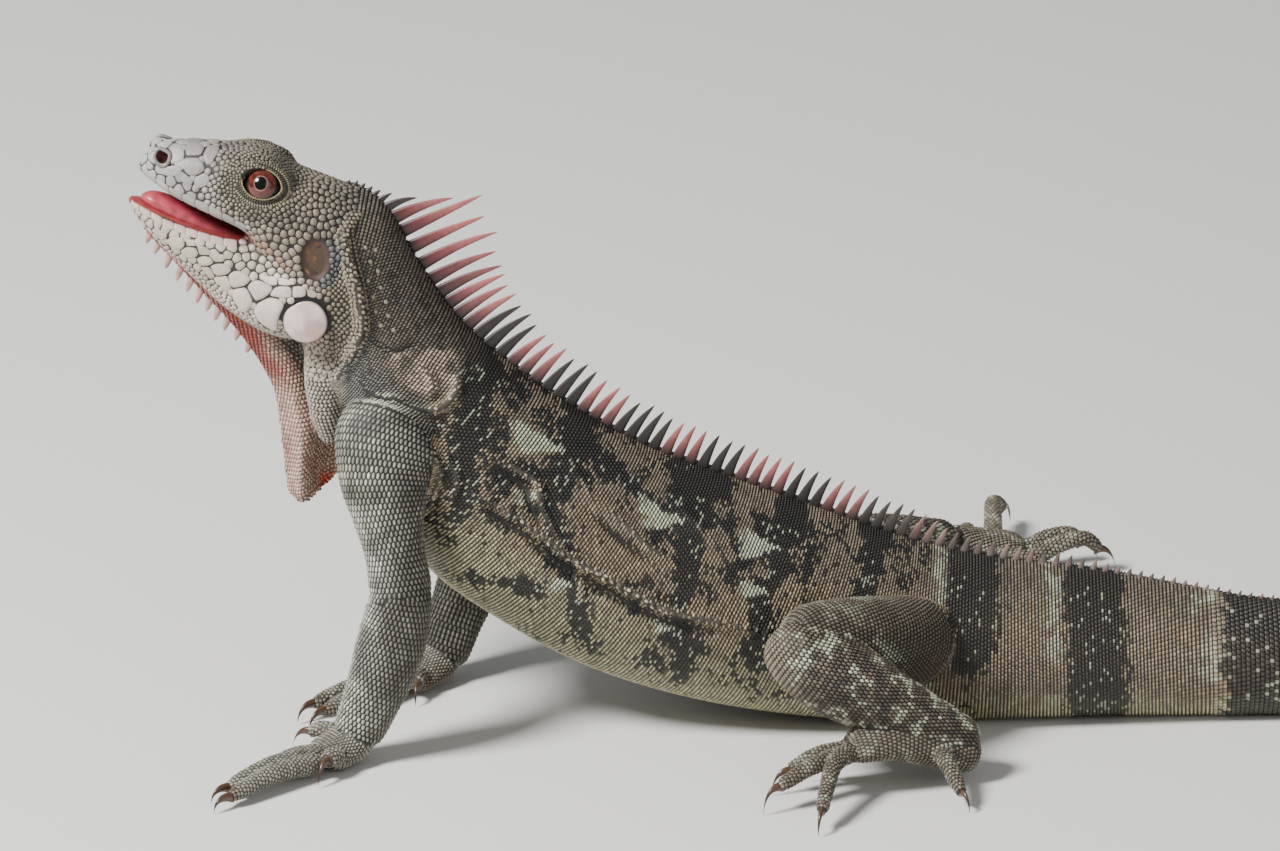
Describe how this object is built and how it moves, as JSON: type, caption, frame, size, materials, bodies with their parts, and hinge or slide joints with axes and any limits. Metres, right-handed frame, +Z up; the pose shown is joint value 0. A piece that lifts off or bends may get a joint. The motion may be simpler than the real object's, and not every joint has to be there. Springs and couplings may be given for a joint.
{
  "type": "iguana",
  "caption": "Life-size still model of a basking green iguana: forequarters raised on straight arms, mouth open, belly and long tail on the floor.",
  "frame": {"origin": "middle of the bounding box on the floor the animal rests on", "axes": "+Z up; the head points to -X and the tail to +X; the animal's left side is towards -Y"},
  "size_m": [1.189, 0.3426, 0.2435],
  "materials": {
    "head_scales": "dry horny scales, satin",
    "body_scales": "dry small scales, satin",
    "toe_scales": "dry scales with smooth horn claws",
    "dewlap_skin": "thin scaled skin, satin",
    "mouth_flesh": "wet, glossy",
    "eye": "wet, glossy",
    "eardrum": "thin dry membrane",
    "cheek_plate": "smooth horn, satin"
  },
  "bodies": {
    "root": {"head": "head_scales", "lower_jaw": "head_scales", "tongue": "mouth_flesh", "eye_left": "eye", "eye_right": "eye", "eardrum_left": "eardrum", "eardrum_right": "eardrum", "cheek_plate_left": "cheek_plate", "cheek_plate_right": "cheek_plate", "neck": "body_scales", "trunk": "body_scales", "tail_root": "body_scales", "tail_middle": "body_scales", "tail_rear": "body_scales", "tail_whip": "body_scales", "dewlap": "dewlap_skin", "upper_arm_left": "body_scales", "forearm_left": "body_scales", "hand_left": "body_scales", "upper_arm_right": "body_scales", "forearm_right": "body_scales", "hand_right": "body_scales", "thigh_left": "body_scales", "shank_left": "body_scales", "foot_left": "body_scales", "thigh_right": "body_scales", "shank_right": "body_scales", "foot_right": "body_scales", "finger_left_1": "toe_scales", "finger_left_2": "toe_scales", "finger_left_3": "toe_scales", "finger_left_4": "toe_scales", "finger_left_5": "toe_scales", "finger_right_1": "toe_scales", "finger_right_2": "toe_scales", "finger_right_3": "toe_scales", "finger_right_4": "toe_scales", "finger_right_5": "toe_scales", "toe_left_1": "toe_scales", "toe_left_2": "toe_scales", "toe_left_3": "toe_scales", "toe_left_4": "toe_scales", "toe_left_5": "toe_scales", "toe_right_1": "toe_scales", "toe_right_2": "toe_scales", "toe_right_3": "toe_scales", "toe_right_4": "toe_scales", "toe_right_5": "toe_scales"}
  },
  "joints": []
}
